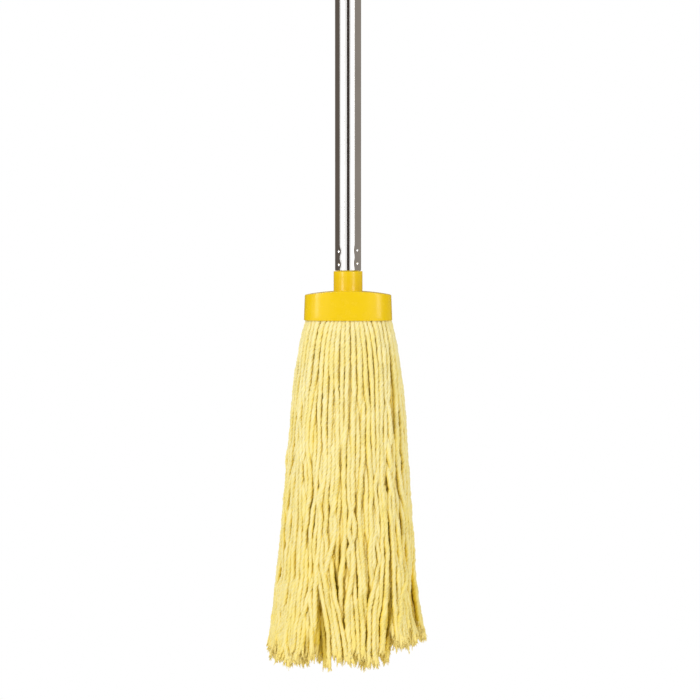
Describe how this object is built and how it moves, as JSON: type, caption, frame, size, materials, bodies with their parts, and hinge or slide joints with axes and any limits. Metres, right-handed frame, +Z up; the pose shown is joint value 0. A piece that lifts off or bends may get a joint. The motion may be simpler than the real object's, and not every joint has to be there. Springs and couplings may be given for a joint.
{
  "type": "string mop",
  "caption": "String mop with a steel tube handle, a screw-on oval plastic ferrule and a flared skirt of twisted cotton yarn, hung by its eye.",
  "frame": {"origin": "centre of the hole of the hanging eye at the top of the handle", "axes": "+Z up along the handle, +X to the right along the ferrule's long side, front towards -Y"},
  "size_m": [0.161, 0.116, 1.7798],
  "materials": {
    "chromed_steel": "polished",
    "zinc_steel": "satin",
    "yellow_plastic": "satin",
    "natural_nylon": "satin",
    "cotton_yarn": "matte"
  },
  "bodies": {
    "hanger": {"hanging_eye": "yellow_plastic", "eye_push_nut": "zinc_steel"},
    "handle": {"cap_plug": "yellow_plastic", "handle_tube": "chromed_steel", "threaded_tip": "natural_nylon"},
    "head": {"ferrule": "yellow_plastic", "yarn_bar_front": "zinc_steel", "yarn_bar_back": "zinc_steel", "bar_clip_left": "natural_nylon", "bar_clip_right": "natural_nylon", "clip_screw_left": "zinc_steel", "clip_screw_right": "zinc_steel", "yarn_crown_front": "cotton_yarn", "yarn_crown_back": "cotton_yarn", "yarn_core": "cotton_yarn"},
    "bundle_right": {"yarn_right": "cotton_yarn"},
    "bundle_back_right": {"yarn_back_right": "cotton_yarn"},
    "bundle_back": {"yarn_back": "cotton_yarn"},
    "bundle_back_left": {"yarn_back_left": "cotton_yarn"},
    "bundle_left": {"yarn_left": "cotton_yarn"},
    "bundle_front_left": {"yarn_front_left": "cotton_yarn"},
    "bundle_front": {"yarn_front": "cotton_yarn"},
    "bundle_front_right": {"yarn_front_right": "cotton_yarn"}
  },
  "joints": [
    {"name": "handle_turn", "type": "hinge", "parent": "hanger", "child": "handle", "pos_m": [0, 0, 0], "axis": [0, 0, 1], "range_deg": [0, 1440]},
    {"name": "head_travel", "type": "slide", "parent": "hanger", "child": "head", "axis": [0, 0, -1], "range_m": [0, 0.02032]},
    {"name": "swing_right", "type": "hinge", "parent": "head", "child": "bundle_right", "pos_m": [0.0429, 0, -1.4228], "axis": [0, -1, 0], "range_deg": [0, 40]},
    {"name": "swing_back_right", "type": "hinge", "parent": "head", "child": "bundle_back_right", "pos_m": [0.03401, 0.02541, -1.4228], "axis": [0.5986, -0.8011, 0], "range_deg": [0, 40]},
    {"name": "swing_back", "type": "hinge", "parent": "head", "child": "bundle_back", "pos_m": [0, 0.0286, -1.4228], "axis": [1, 0, 0], "range_deg": [0, 40]},
    {"name": "swing_back_left", "type": "hinge", "parent": "head", "child": "bundle_back_left", "pos_m": [-0.03401, 0.02541, -1.4228], "axis": [0.5986, 0.8011, 0], "range_deg": [0, 40]},
    {"name": "swing_left", "type": "hinge", "parent": "head", "child": "bundle_left", "pos_m": [-0.0429, 0, -1.4228], "axis": [0, 1, 0], "range_deg": [0, 40]},
    {"name": "swing_front_left", "type": "hinge", "parent": "head", "child": "bundle_front_left", "pos_m": [-0.03401, -0.02541, -1.4228], "axis": [-0.5986, 0.8011, 0], "range_deg": [0, 40]},
    {"name": "swing_front", "type": "hinge", "parent": "head", "child": "bundle_front", "pos_m": [0, -0.0286, -1.4228], "axis": [-1, 0, 0], "range_deg": [0, 40]},
    {"name": "swing_front_right", "type": "hinge", "parent": "head", "child": "bundle_front_right", "pos_m": [0.03401, -0.02541, -1.4228], "axis": [-0.5986, -0.8011, 0], "range_deg": [0, 40]}
  ],
  "couplings": [
    {"joint": "head_travel", "follows": "handle_turn", "m_per_rad": 0.00080851}
  ]
}
